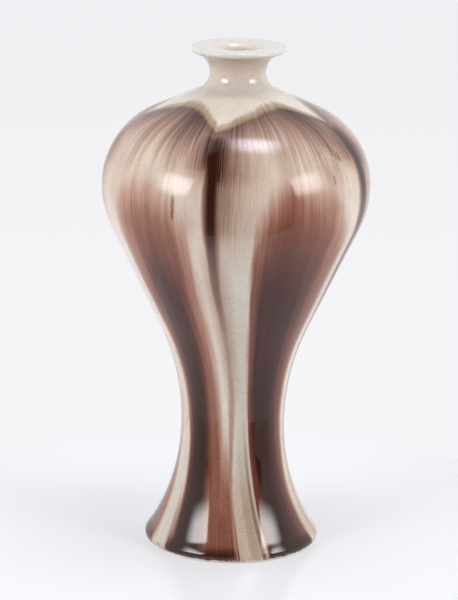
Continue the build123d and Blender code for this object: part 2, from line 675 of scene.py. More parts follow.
@dataclass(frozen=True)
class FlambeGlaze:
    """Ivory glaze with five brown runs that start as scalloped hoods and flow down to the foot.

    Lengths are millimetres and angles degrees. Iron is the amount of brown, from 0 for ivory to 1.

    Attributes:
        name: the material's name.
        tall: the vase's height, over which the seams' curves are drawn.
        seams: where two hoods meet, from the left back round by the front.
        half_hood: half of a hood's width, taken as the same for all.
        hood_low: height of the hoods' top edge where two meet.
        hood_rise: how much higher it is in the middle of a hood.
        streak_half: how wide the dark streaks are along the height, both from 0 to 1.
        streak_iron: how dark they are along the height.
        left_flank: how dark the flanks to the left of the seams are along the height.
        right_flank: the same to the right.
        drift: how far round the streams have drifted at the foot.
        drift_top: height where they start to drift.
        slide_top: height where the streams' edges start to slide to their places at the foot.
        streams: the five streams.
        trickles: thin streaks near the foot.
        fills: wider red washes beside the streams near the foot.
        greys: where the glaze is greyer, each with its greyness in the place of iron.
        marks_and_shade: small dark marks, and faint patches on the shoulder, most of them painted shade.
        hood_browns: colours of hoods, seams and foot from ivory to the darkest brown, each with its iron.
        browns: the redder colours of the streams.
        olive: colour of the hoods' top edge.
        cloud_tint: tint of the soft clouds.
        grey_tint: tint of the greyer places.
        speckle: colour of the specks in the ivory.
        lip_painted_sheen: greyer white on the lip's top and edge, a painted reflection of the white room.
        neck_tone_and_shade: tint of the neck's greyer tone and of the painted shade under the lip.
        worn_edge: colour of the glaze's lower edge.
        crackle_tint: tint of the cracks.
    """

    name: str = "ivory_glaze_with_brown_runs"
    tall: float = 300.0
    seams: tuple[Seam, ...] = (
        Seam(-145.0, 0.70, 0.60, 9.0, 20.0, 0.42),
        Seam(-82.0, 0.66, 0.60, 9.0, 0.0, 0.50),
        Seam(-10.4, 1.00, 0.62, 9.4, 0.0, 0.95),
        Seam(69.5, 0.90, 0.76, 12.2, 40.0, 0.30),
        Seam(143.0, 0.74, 0.65, 10.0, 15.0, 0.60),
    )
    half_hood: float = 37.0
    hood_low: float = 262.2
    hood_rise: float = 8.2
    streak_half: tuple[Point, ...] = (
        (0.0, 0.34), (0.2, 0.40), (0.32, 0.54), (0.42, 0.54),
        (0.55, 0.46), (0.63, 0.46), (0.70, 0.54), (1.0, 0.60),
    )
    streak_iron: tuple[Point, ...] = (
        (0.0, 0.28), (0.2, 0.36), (0.35, 0.32), (0.55, 0.62),
        (0.64, 0.82), (0.69, 0.97), (0.74, 1.0),
    )
    left_flank: tuple[Point, ...] = ((0.74, 0.0), (0.77, 0.16), (0.80, 0.48), (0.83, 0.82), (0.87, 0.80))
    right_flank: tuple[Point, ...] = (
        (0.58, 0.0), (0.63, 0.14), (0.67, 0.28), (0.70, 0.42),
        (0.77, 0.57), (0.83, 1.0), (0.87, 0.66),
    )
    drift: float = 20.0
    drift_top: float = 170.0
    slide_top: float = 200.0
    streams: tuple[Stream, ...] = (
        Stream(
            (-61, -66), (-20.5, -22, -22), (-49, -67), (-25, -43.5), -43,
            (3.8, 6.0, 8.0, 6.0), (0.44, 0.56), 228,
        ),
        Stream(
            (8.2, 6.6), (60, 54.5, 50), (10.5, 14), (49, 37.5), 28,
            (1.6, 5.0, 4.0, 12.0), (0.45, 0.70), 231,
        ),
        Stream((84, 82), (127, 126, 122), (91, 88), (117, 107), 106),
        Stream((155, 153), (201, 199, 196), (162, 160), (190, 180), 178, core_top=230),
        Stream((-128, -130), (-86, -88, -85), (-120, -123), (-96, -100), -106, edge_iron=(0.42, 0.54)),
    )
    trickles: tuple[Trickle, ...] = (
        Trickle(3.2, 2.0, 98, 0.42),
        Trickle(-17.5, 0.8, 50, 0.66),
        Trickle(-14.0, 0.6, 42, 0.52),
        Trickle(-68.0, 2.6, 48, 0.34),
        Trickle(-67.2, 1.8, 22, 0.60),
        Trickle(66.0, 0.9, 70, 0.24),
        Trickle(142.0, 1.4, 64, 0.40),
        Trickle(-138.0, 1.2, 80, 0.34),
    )
    fills: tuple[Trickle, ...] = (
        Trickle(-21.0, 8.5, 92, 0.52),
        Trickle(-24.0, 9.0, 60, 0.59),
        Trickle(-2.5, 6.0, 80, 0.20),
        Trickle(129.0, 5.0, 90, 0.46),
        Trickle(-88.0, 4.0, 84, 0.36),
    )
    greys: tuple[Trickle, ...] = (
        Trickle(1.0, 9.0, 330, 0.75),
        Trickle(-74.0, 9.0, 150, 0.60),
    )
    marks_and_shade: tuple[MarkOrShade, ...] = (
        MarkOrShade(-27.2, 210, 228, 0.65, 0.36),
        MarkOrShade(-26.5, 214, 226, 0.45, 0.22),
        # Painted shade: a thin dark line along the left edge of the right-hand highlight.
        MarkOrShade(24.2, 204, 240, 0.90, 0.14),
        MarkOrShade(50.4, 244, 252, 0.60, 0.40),
        MarkOrShade(52.6, 242, 250, 0.50, 0.36),
        MarkOrShade(54.2, 241, 247, 0.60, 0.40),
        MarkOrShade(46.8, 229, 236, 0.50, 0.32),
        MarkOrShade(110.0, 224, 238, 0.50, 0.42),
        MarkOrShade(-112.0, 228, 243, 0.60, 0.40),
        # Painted shade: faint darker patches that stand for less light on the belly's ivory, and for the
        # missing reflection beside the right-hand highlight.
        MarkOrShade(-60.0, 196, 268, 7.00, 0.12),
        MarkOrShade(-19.0, 196, 252, 4.00, 0.09),
        MarkOrShade(14.0, 206, 262, 7.00, 0.04),
        MarkOrShade(24.0, 218, 258, 4.50, 0.14),
        MarkOrShade(23.5, 176, 234, 5.50, 0.19),
        MarkOrShade(46.0, 208, 246, 6.00, 0.12),
        # A faint darker patch on the right-hand hood's rim.
        MarkOrShade(53.0, 246, 270, 7.00, 0.20),
    )
    hood_browns: Stops = (
        (0.00, (223, 214, 203)),
        (0.13, (209, 191, 177)),
        (0.27, (186, 160, 145)),
        (0.44, (157, 126, 112)),
        (0.60, (132, 100, 88)),
        (0.75, (108, 78, 68)),
        (0.88, (82, 54, 45)),
        (1.00, (48, 22, 12)),
    )
    browns: Stops = (
        (0.00, (223, 214, 203)),
        (0.13, (208, 186, 172)),
        (0.27, (184, 149, 132)),
        (0.44, (153, 107, 90)),
        (0.60, (124, 77, 62)),
        (0.75, (97, 54, 42)),
        (0.88, (72, 37, 29)),
        (1.00, (48, 22, 12)),
    )
    olive: Colour = (146, 125, 90)
    cloud_tint: Colour = (226, 219, 206)
    grey_tint: Colour = (226, 226, 223)
    speckle: Colour = (180, 156, 138)
    lip_painted_sheen: Colour = (210, 208, 204)
    neck_tone_and_shade: Colour = (204, 192, 180)
    worn_edge: Colour = (228, 216, 203)
    crackle_tint: Colour = (206, 190, 172)

    def material(self) -> bpy.types.Material:
        """Make the material.

        Returns:
            The finished material.
        """
        graph = NodeGraph.of_material(self.name)
        flow = GlazeFlow.start(graph, self.drift, self.drift_top)
        z = flow.z
        across, hood, seam = self._hoods(flow)
        arch = 1.0 - across.size().power(2.3)
        lift = arch * (across * (self._by_turn(hood, [each.skew for each in self.seams]) - 0.5) + 1.0)
        wave = (flow.broad - 0.5) * 2.0 + (flow.middle - 0.5) * 0.9 - across.size().rise(0.93, 1.0) * 0.4
        below = lift * self.hood_rise + self.hood_low - z + wave
        iron = self._hood(flow, across, below).at_least(self._seam(flow, across, seam, below))
        stream_iron = self._stream(flow, self.streams[0])
        for stream in self.streams[1:]:
            stream_iron = stream_iron.at_least(self._stream(flow, stream))
        for fill in self.fills:
            stream_iron = stream_iron.at_least(self._trickle(flow, fill))
        iron = self._mottled(flow, iron.at_least(stream_iron))
        iron = self._marks_and_shade(flow, self._foot(flow, iron))
        fringe = below.rise(-1.4, 0.9) * below.fall(0.9, 3.2) * (flow.middle.rise(0.3, 0.7) * 0.30 + 0.60)
        colour = self._colour(flow, iron, stream_iron.rise(0.04, 0.26), fringe)
        ripple = flow.cloud * 0.06 + flow.middle * 0.005 + flow.fine * 0.001
        normal = graph.bump(ripple * (z.fall(262.0, 276.0) * 0.95 + 0.05))
        belly = z.rise(205.0, 224.0) * z.fall(246.0, 254.0)
        foot, neck = z.fall(38.0, 60.0), z.rise(262.0, 274.0)
        mirror = (foot + neck) * 0.07 - belly * 0.055 + 1.44
        return graph.surface(colour, flow.grain * 0.02 + 0.02, mirror, normal)

    def _hoods(self, flow: GlazeFlow) -> tuple[Signal, Signal, Signal]:
        """Find the place across a hood, the hood and its nearest seam.

        Args:
            flow: the shared numbers.

        Returns:
            The place across the hood, from -1 at its left seam to 1 at its right, and the hood and the
            nearest seam as parts of a whole turn.
        """
        graph, first, count = flow.graph, self.seams[0].azimuth, len(self.seams)
        body, top, foot = flow.z.fall(110.0, 190.0), flow.z.rise(234.0, 256.0), flow.z.fall(20.0, 105.0)
        turn = flow.turn - body * 2.0 + top * 1.9 + foot * 8.7
        round_first = graph.math("WRAP", turn - first, 360.0, 0.0) / 360.0
        points = [((seam.azimuth - first) / 360.0, index / count) for index, seam in enumerate(self.seams)]
        phase = graph.curve(round_first, [*points, (1.0, 1.0)], straight=True) * float(count)
        across = graph.math("FRACT", phase) * 2.0 - 1.0
        return across, graph.math("FLOOR", phase) / float(count), graph.math("ROUND", phase) / float(count)

    @staticmethod
    def _by_turn(part: Signal, levels: Sequence[float]) -> Signal:
        """Look up a level that belongs to each seam or hood.

        Args:
            part: the seam or hood, as a part of a whole turn.
            levels: the levels from the first one round.

        Returns:
            The level.
        """
        points = [(index / len(levels), level) for index, level in enumerate(levels)]
        return part.graph.curve(part, [*points, (1.0, levels[0])], straight=True)

    def _hood(self, flow: GlazeFlow, across: Signal, below: Signal) -> Signal:
        """The dark rim along the top of a hood and the fine streaks that hang from it.

        Args:
            flow: the shared numbers.
            across: place across the hood.
            below: depth below the hood's top edge.

        Returns:
            The hood's iron.
        """
        thick = across.rise(0.0, 0.42) * across.fall(0.54, 0.88)
        reach = flow.middle.rise(0.3, 0.7) * 5.0 + thick * 4.5 + 8.0
        rim = below.rise(0.2, 3.6) * (below - 2.5).decay(reach) * (flow.fine.rise(0.28, 0.72) * 0.32 + 0.66)
        rim = rim * (thick * 0.24 + 1.0)
        hanging = below.rise(2.0, 7.0) * flow.z.rise(190.0, 236.0)
        streaks = flow.fine.rise(0.46, 0.74) * 0.10 + flow.middle.rise(0.45, 0.72) * 0.06
        return rim + hanging * (streaks + flow.broad.rise(0.4, 0.7) * 0.04)

    @staticmethod
    def _mottled(flow: GlazeFlow, iron: Signal) -> Signal:
        """Break the brown up into fine streaks and grain.

        Args:
            flow: the shared numbers.
            iron: iron so far.

        Returns:
            Iron with the streaks and the grain.
        """
        coarse = flow.z.fall(50.0, 120.0) * iron.fall(0.55, 0.80) * 0.14 + 0.12
        mottle = (flow.fine - 0.5) * 0.16 + (flow.middle - 0.5) * 0.10 + (flow.grain - 0.5) * coarse
        return iron + mottle * iron.rise(0.08, 0.4)

    def _seam(self, flow: GlazeFlow, across: Signal, seam: Signal, below: Signal) -> Signal:
        """The dark streak that runs down from the notch between two hoods, with its streaky flanks.

        Args:
            flow: the shared numbers.
            across: place across a hood.
            seam: the nearest seam, as a part of a whole turn.
            below: depth below the hoods' top edge.

        Returns:
            The seam's iron.
        """
        graph, z = flow.graph, flow.z
        height = z / self.tall
        iron = self._by_turn(seam, [each.iron for each in self.seams])
        width = self._by_turn(seam, [each.width for each in self.seams])
        reach = self._by_turn(seam, [each.flank for each in self.seams])
        lower = (z + self._by_turn(seam, [each.length for each in self.seams])) / self.tall
        away = (1.0 - across.size()) * self.half_hood
        away = away + (flow.fine - 0.5) * 1.4 + (flow.middle - 0.5) * 1.6
        half = graph.curve(height, self.streak_half) * width * 11.0
        level = graph.curve(lower, self.streak_iron)
        streak = away.fall(half * 0.2, half * 1.5) * level * (1.0 - z.rise(246.0, 260.0) * 0.30)
        on_right = across.fall(-0.5, 0.5)
        left, right = graph.curve(height, self.left_flank), graph.curve(height, self.right_flank)
        fade = right * on_right + left * (1.0 - on_right)
        flank = (away - 2.2).decay(reach) * fade * (flow.fine.rise(0.3, 0.7) * 0.48 + 0.92)
        blur = away.fall(1.5, 10.0) * z.rise(80.0, 130.0) * z.fall(185.0, 215.0)
        blur = blur * iron.rise(0.9, 1.0) * 0.26
        tail = away.fall(5.0, 16.0) * z.fall(18.0, 80.0) * iron.rise(0.68, 0.96) * 0.19
        return streak.at_least(flank).at_least(blur).at_least(tail) * below.rise(-2.0, 8.0) * iron

    def _stream(self, flow: GlazeFlow, stream: Stream) -> Signal:
        """One stream of brown glaze with its reddish edges and dark core.

        Args:
            flow: the shared numbers.
            stream: where it lies.

        Returns:
            The stream's iron.
        """
        z, crest = flow.z, stream.crest
        spot = flow.beside(crest)
        down = ((self.slide_top - z) / self.slide_top).at_least(0.0).at_most(1.0)
        stray = (flow.middle - 0.5) * 4.0 + (flow.fine - 0.5) * 1.6
        left_soft, right_soft, core_left_soft, core_right_soft = stream.soft
        under, waist, foot = stream.right
        right = z.fall(75.0, 170.0) * (waist - under) + z.fall(30.0, 65.0) * (foot - waist) + (under - crest)
        left = self._slide(stream.left, down) - crest
        core_left = self._slide(stream.core_left, down) - crest
        core_right = self._slide(stream.core_right, down) - crest
        loose = z.rise(185.0, 232.0) * 9.0
        body = (spot - left + stray).rise(loose * -0.6 - left_soft, loose + left_soft)
        body = body * (right - spot + stray).rise(loose * -0.6 - right_soft, loose + right_soft)
        core = (spot - core_left + stray).rise(-core_left_soft, core_left_soft)
        core = core * (core_right - spot + stray).rise(-core_right_soft, core_right_soft)
        depth = (spot / 25.0).power(2.0) * -20.0 - z + (flow.middle - 0.5) * 14.0 + (flow.fine - 0.5) * 9.0
        edge_iron = self._slide(stream.edge_iron, down)
        edge_start = depth.rise(-252.0, -208.0)
        core_start = depth.rise(-stream.core_top, 74.0 - stream.core_top)
        core_iron = z.fall(60.0, 140.0) * 0.06 + 0.94 - edge_iron
        return body * (edge_start * edge_iron + core * core_start * core_iron)

    @staticmethod
    def _slide(ends: tuple[float, float], part: Signal) -> Signal:
        """Go evenly from one value to another."""
        return part * (ends[1] - ends[0]) + ends[0]

    def _foot(self, flow: GlazeFlow, iron: Signal) -> Signal:
        """Trickles, the pooled brown at the foot and the speckled edge of the glaze.

        Args:
            flow: the shared numbers.
            iron: iron so far.

        Returns:
            Iron with the foot's own.
        """
        for trickle in self.trickles:
            iron = iron.at_least(self._trickle(flow, trickle))
        pool = flow.z.fall(4.5, 10.5) * iron.rise(0.28, 0.55) * 0.34
        edge = flow.z.fall(2.0, 7.0) * flow.grain.rise(0.44, 0.6) * 0.34
        return (iron + pool).at_least(edge)

    @staticmethod
    def _trickle(flow: GlazeFlow, trickle: Trickle) -> Signal:
        """One thin streak or wash.

        Args:
            flow: the shared numbers.
            trickle: where it lies.

        Returns:
            Its iron or its greyness.
        """
        away = flow.beside(trickle.flow).size() + (flow.fine - 0.5) * 0.8
        run = away.fall(trickle.half * 0.3, trickle.half * 1.4)
        return run * flow.z.fall(trickle.top * 0.3, trickle.top) * trickle.iron

    def _marks_and_shade(self, flow: GlazeFlow, iron: Signal) -> Signal:
        """Add the dark marks and the patches of painted shade.

        Args:
            flow: the shared numbers.
            iron: iron so far.

        Returns:
            Iron with the marks and the painted shade.
        """
        for mark_or_shade in self.marks_and_shade:
            away = flow.beside(mark_or_shade.turn).size() + (flow.grain - 0.5) * 0.7
            middle, half = (mark_or_shade.low + mark_or_shade.high) / 2, (mark_or_shade.high - mark_or_shade.low) / 2
            level = away.fall(mark_or_shade.half * 0.2, mark_or_shade.half * 1.6)
            level = level * (flow.z - middle).size().fall(half * 0.5, half)
            iron = iron + level * mark_or_shade.iron * (1.0 - iron)
        return iron

    def _colour(self, flow: GlazeFlow, iron: Signal, red: Signal, fringe: Signal) -> bpy.types.NodeSocket:
        """Turn iron into colour, with the olive fringe, clouds, greyer places, the neck's tone, the crackle,
        and painted light at the lip.

        Args:
            flow: the shared numbers.
            iron: amount of brown.
            red: 1 in the streams, where the brown is redder.
            fringe: how olive the hoods' top edge is.

        Returns:
            The colour output.
        """
        graph, z = flow.graph, flow.z
        colour = graph.blend(red, graph.ramp(iron, self.hood_browns), graph.ramp(iron, self.browns))
        colour = graph.blend(fringe, colour, shade(*self.olive))
        clouds = flow.cloud.rise(0.35, 0.68) * 0.30
        colour = graph.blend(clouds, colour, shade(*self.cloud_tint), "MULTIPLY")
        for grey in self.greys:
            colour = graph.blend(self._trickle(flow, grey), colour, shade(*self.grey_tint), "MULTIPLY")
        pale = iron.fall(0.12, 0.45)
        speckle = flow.grain.rise(0.50, 0.64) * pale * (z.fall(40.0, 110.0) * 0.20 + 0.28)
        colour = graph.blend(speckle, colour, shade(*self.speckle))
        # Painted reflection: the lip's top and rounded edge are painted a greyer white that stands for the
        # white room they mirror.
        lip_edge_sheen = z.rise(296.2, 297.4) * flow.away.rise(24.5, 26.5) * 0.8
        lip = z.rise(298.3, 299.6).at_least(lip_edge_sheen)
        colour = graph.blend(lip * 0.8, colour, shade(*self.lip_painted_sheen))
        # The neck is painted a little greyer, and darker still under the lip and on the lip's lower edge:
        # painted shade from the lip's overhang.
        neck, painted_shade_under_lip = z.rise(271.0, 281.0) * 0.28, z.rise(283.0, 293.0) * 0.46
        outside = flow.away.rise(13.5, 15.5)
        neck_tone_and_painted_shade = (neck + painted_shade_under_lip) * z.fall(296.4, 298.2) * outside
        colour = graph.blend(neck_tone_and_painted_shade, colour, shade(*self.neck_tone_and_shade), "MULTIPLY")
        worn = (z + (flow.grain - 0.5) * 4.0).fall(1.3, 2.2)
        colour = graph.blend(worn * 0.8, colour, shade(*self.worn_edge))
        crackle = graph.cracks(flow.place, 0.16).fall(0.006, 0.04) * flow.cloud.rise(0.38, 0.6)
        return graph.blend(crackle * (pale * 0.10 + 0.16), colour, shade(*self.crackle_tint), "MULTIPLY")


@dataclass(frozen=True)
class Station:
    """A height at which the vase's wall stands upright, in millimetres.

    Attributes:
        radius: outside radius.
        height: height above the ground.
    """

    radius: float
    height: float


@dataclass(frozen=True)
class Swing:
    """The wall between two stations: an arc at each end, with a straight between them where they don't meet.

    Attributes:
        lower: lower station.
        upper: upper station.
        lean: angle from the upright where the arcs end, negative where the wall narrows upwards.
        lower_arc: signed radius of the lower arc.
        upper_arc: signed radius of the upper arc.
    """

    lower: Station
    upper: Station
    lean: float
    lower_arc: float
    upper_arc: float

    @classmethod
    def between(
        cls,
        lower: Station,
        upper: Station,
        fullness: float = 1.0,
        lower_arc: float | None = None,
        upper_arc: float | None = None,
    ) -> "Swing":
        """Work out a swing from its stations and one of its arcs.

        Args:
            lower: lower station.
            upper: upper station.
            fullness: 0 for a straight cone, 1 for two arcs that meet.
            lower_arc: radius of the lower arc, if that is the one given.
            upper_arc: radius of the upper arc, if that is the one given.

        Returns:
            The swing.
        """
        widening = upper.radius - lower.radius
        rise = upper.height - lower.height
        side = 1 if widening > 0 else -1
        lean = math.atan2(widening, rise) * (1 + fullness)
        both = (rise * math.tan(lean) - widening) / (1 / math.cos(lean) - 1)
        first = both - (upper_arc or 0.0) * side if lower_arc is None else lower_arc * side
        return cls(lower, upper, lean, first, both - first)

    def line(self, turn_step: float, reach: float) -> list[Point]:
        """Points up the wall, close together where it bends.

        Args:
            turn_step: largest turn between two points on an arc, in radians.
            reach: largest distance between two points.

        Returns:
            Radii and heights from the lower station to just below the upper one.
        """
        points = self._arc(self.lower, self.lower_arc, turn_step, reach)
        upper = self._arc(self.upper, -self.upper_arc, turn_step, reach)[1:]
        start, end = points[-1], upper[-1]
        span = math.dist(start, end)
        steps = math.ceil(span / reach)
        for index in range(1, steps):
            part = index / steps
            points.append((start[0] + (end[0] - start[0]) * part, start[1] + (end[1] - start[1]) * part))
        points.extend(reversed(upper if span > SAME_POINT else upper[:-1]))
        return points

    def _arc(self, station: Station, arc: float, turn_step: float, reach: float) -> list[Point]:
        """Points along the arc at one end of the wall.

        Args:
            station: the station at that end.
            arc: radius of the arc, negative for the mirrored one at the upper end.
            turn_step: largest turn between two points, in radians.
            reach: largest distance between two points.

        Returns:
            Radii and heights from the station to where the arc ends.
        """
        count = max(2, math.ceil(max(abs(self.lean) / turn_step, abs(arc * self.lean) / reach)))
        turns = [self.lean * index / count for index in range(count + 1)]
        return [
            (station.radius + arc * (1 - math.cos(turn)), station.height + arc * math.sin(turn))
            for turn in turns
        ]


@dataclass
class GlazeSkin:
    """The melted glaze coat from the bare foot line over the lip into the throat, with its brown runs.

    Lengths are millimetres.

    Attributes:
        foot: station at the top of the upright foot band.
        waist: narrowest station.
        belly: widest station.
        neck: neck's narrowest station.
        lip: station at the lip's edge.
        foot_arc: radius of the outline's arc above the foot.
        belly_arc: radius of the arc below the belly.
        neck_arc: radius of the arc below the neck.
        body_fullness: how round the wall is between waist and belly, 0 for a straight cone.
        shoulder_fullness: how round it is between belly and neck.
        lip_round: radius of the lip's edge.
        lip_rings: how far the rings on the flat lip lie inside its rounded edge.
        throat: radius of the throat.
        throat_round: radius of the throat's upper edge.
        throat_rings: how far the rings in the throat lie below that.
        bare_band: height of the glaze's lower edge.
        edge_steps: how far out from the foot and how far above the bare band the rounded lower edge goes.
        coat: thickness of the coat.
        roll: how far the pooled ends of the brown runs stand out at the foot.
        roll_top: height where they begin.
        roll_soft: width of their soft sides, in degrees.
        turns: number of faces round the vase.
        turn_step: largest turn between two rings, in degrees.
        reaches: largest distance between two rings on each stretch of the wall, from the foot up.
        quarter_steps: number of faces along a quarter circle.
    """

    foot: Station = Station(51.8, 3.0)
    waist: Station = Station(30.9, 73.0)
    belly: Station = Station(79.0, 218.4)
    neck: Station = Station(16.5, 284.2)
    lip: Station = Station(27.9, 298.2)
    foot_arc: float = 4.0
    belly_arc: float = 56.9
    neck_arc: float = 10.3
    body_fullness: float = 0.40
    shoulder_fullness: float = 0.50
    lip_round: float = 1.8
    lip_rings: tuple[float, ...] = (2.5, 5.0)
    throat: float = 11.2
    throat_round: float = 7.0
    throat_rings: tuple[float, ...] = (3.0, 6.0, 8.8)
    bare_band: float = 1.2
    edge_steps: tuple[Point, ...] = ((-0.35, 0.0), (-0.10, 0.10), (0.0, 0.40))
    coat: float = 0.42
    roll: float = 0.34
    roll_top: float = 10.6
    roll_soft: float = 5.0
    turns: int = 200
    turn_step: float = 4.0
    reaches: tuple[float, ...] = (1.2, 3.5, 3.5, 1.5)
    quarter_steps: int = 12

    def profile(self) -> list[Point]:
        """The coat's outline from the foot over the lip into the throat.

        Returns:
            Radii and heights in millimetres.
        """
        points = [(self.foot.radius + out, self.bare_band + up) for out, up in self.edge_steps]
        swings = (
            Swing.between(self.foot, self.waist, lower_arc=self.foot_arc),
            Swing.between(self.waist, self.belly, self.body_fullness, upper_arc=self.belly_arc),
            Swing.between(self.belly, self.neck, self.shoulder_fullness, upper_arc=self.neck_arc),
            Swing.between(self.neck, self.lip, upper_arc=self.lip_round),
        )
        for swing, reach in zip(swings, self.reaches):
            points.extend(swing.line(math.radians(self.turn_step), reach))
        rim = self.lip.radius - self.lip_round
        points.extend(self._quarter(rim, self.lip.height, self.lip_round, 0))
        top = self.lip.height + self.lip_round
        points.extend((rim - inwards, top) for inwards in self.lip_rings)
        inner = self.throat + self.throat_round
        points.extend(self._quarter(inner, top - self.throat_round, self.throat_round, 90))
        points.extend((self.throat, top - self.throat_round - down) for down in self.throat_rings)
        return points

    def _quarter(self, radius: float, height: float, arc: float, first: float) -> list[Point]:
        """A quarter circle.

        Args:
            radius: radius of its centre from the axis.
            height: height of its centre.
            arc: its radius.
            first: direction of its first point, in degrees.

        Returns:
            Its points after the first.
        """
        count = self.quarter_steps
        turns = [math.radians(first + 90 * index / count) for index in range(1, count + 1)]
        return [(radius + arc * math.cos(turn), height + arc * math.sin(turn)) for turn in turns]

    def build(self, finish: FlambeGlaze) -> bpy.types.Object:
        """Draw the outline point by point, spin it round the axis and give the coat its thickness.

        Args:
            finish: the glaze whose runs pool at the foot.

        Returns:
            The finished coat.
        """
        outline = [Vector((radius * MM, 0.0, height * MM)) for radius, height in self.profile()]
        bpy.ops.object.select_all(action="DESELECT")
        bpy.ops.mesh.primitive_plane_add(size=MM, location=(0.0, 0.0, 0.0))
        coat = bpy.context.active_object
        coat.name = "glaze_coat"
        bpy.ops.object.mode_set(mode="EDIT")
        bpy.ops.mesh.select_all(action="SELECT")
        bpy.ops.mesh.merge(type="CENTER")
        bpy.ops.transform.translate(value=outline[0])
        for start, end in zip(outline, outline[1:]):
            bpy.ops.mesh.extrude_region_move(TRANSFORM_OT_translate={"value": end - start})
        bpy.ops.mesh.select_all(action="SELECT")
        bpy.ops.mesh.spin(steps=self.turns, angle=math.tau, center=(0.0, 0.0, 0.0), axis=(0.0, 0.0, 1.0))
        bpy.ops.mesh.select_all(action="SELECT")
        bpy.ops.mesh.remove_doubles(threshold=SAME_POINT * MM)
        bpy.ops.mesh.normals_make_consistent(inside=False)
        bpy.ops.object.mode_set(mode="OBJECT")
        self._face_outwards(coat)
        self._pool_at_foot(coat, finish)
        wall = coat.modifiers.new("coat_thickness", "SOLIDIFY")
        wall.thickness = self.coat * MM
        wall.offset = -1.0
        bpy.ops.object.modifier_apply(modifier=wall.name)
        bpy.ops.object.shade_smooth()
        return coat

    def _face_outwards(self, coat: bpy.types.Object) -> None:
        """Turn the spun sheet round if its faces look at the axis.

        Args:
            coat: the spun sheet.
        """
        widest = max(coat.data.polygons, key=lambda face: face.center.xy.length)
        if widest.normal.xy.dot(widest.center.xy) > 0:
            return
        bpy.ops.object.mode_set(mode="EDIT")
        bpy.ops.mesh.select_all(action="SELECT")
        bpy.ops.mesh.flip_normals()
        bpy.ops.object.mode_set(mode="OBJECT")

    def _pool_at_foot(self, coat: bpy.types.Object, finish: FlambeGlaze) -> None:
        """Let each brown run end in a low roll just above the bare foot line.

        Args:
            coat: the spun sheet.
            finish: the glaze with its runs.
        """
        low, high = self.bare_band, self.roll_top
        for vertex in coat.data.vertices:
            height = vertex.co.z / MM
            if not low < height < high:
                continue
            up = (height - low) / (high - low)
            swell = min(1.0, up / 0.25) * min(1.0, (1.0 - up) / 0.5)
            azimuth = math.degrees(math.atan2(vertex.co.x, -vertex.co.y)) - finish.drift
            cover = max(self._soft_inside(azimuth, run.left[-1], run.right[-1]) for run in finish.streams)
            vertex.co += vertex.normal * (self.roll * eased(swell) * cover * MM)
        coat.data.update()

    def _soft_inside(self, azimuth: float, left: float, right: float) -> float:
        """How far an azimuth is inside a range, from 0 to 1 with soft ends.

        Args:
            azimuth: the azimuth in degrees.
            left: left end.
            right: right end.

        Returns:
            0 outside, 1 inside.
        """
        middle, half = (left + right) / 2, (right - left) / 2
        away = abs((azimuth - middle + 180.0) % 360.0 - 180.0)
        return eased(min(1.0, max(0.0, (half - away) / self.roll_soft + 0.5)))

    def dress(self, coat: bpy.types.Object, finish: FlambeGlaze) -> None:
        """Give the coat its glaze and its place in the frame.

        Args:
            coat: the finished coat.
            finish: its glaze.
        """
        coat.data.materials.clear()
        coat.data.materials.append(finish.material())
        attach(coat, "root")
        runs = [name for name in sorted(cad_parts) if name.startswith("brown_run_")]
        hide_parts("ivory_glaze", *runs)


@dataclass
class ClayBody:
    """The four luted clay sections, their slip and the glazed base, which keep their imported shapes.

    Attributes:
        sections: nodes of bare clay.
        joints: nodes of slip.
        base: node of the base's glaze.
    """

    sections: tuple[str, ...] = ("foot_section", "lower_body", "shoulder", "neck_and_lip")
    joints: tuple[str, ...] = ("waist_slip", "belly_slip", "neck_slip")
    base: str = "base_glaze"

    def dress(self, clay: BiscuitClay, slip: BiscuitClay, glaze: PlainGlaze) -> None:
        """Give each node its finish.

        Args:
            clay: finish of the sections.
            slip: finish of the slip.
            glaze: finish of the base.
        """
        for finish, names in ((clay, self.sections), (slip, self.joints), (glaze, (self.base,))):
            material = finish.material()
            for name in names:
                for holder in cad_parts[name].material_slots:
                    holder.material = material
                LOG.info("dressed %s in %s", name, material.name)


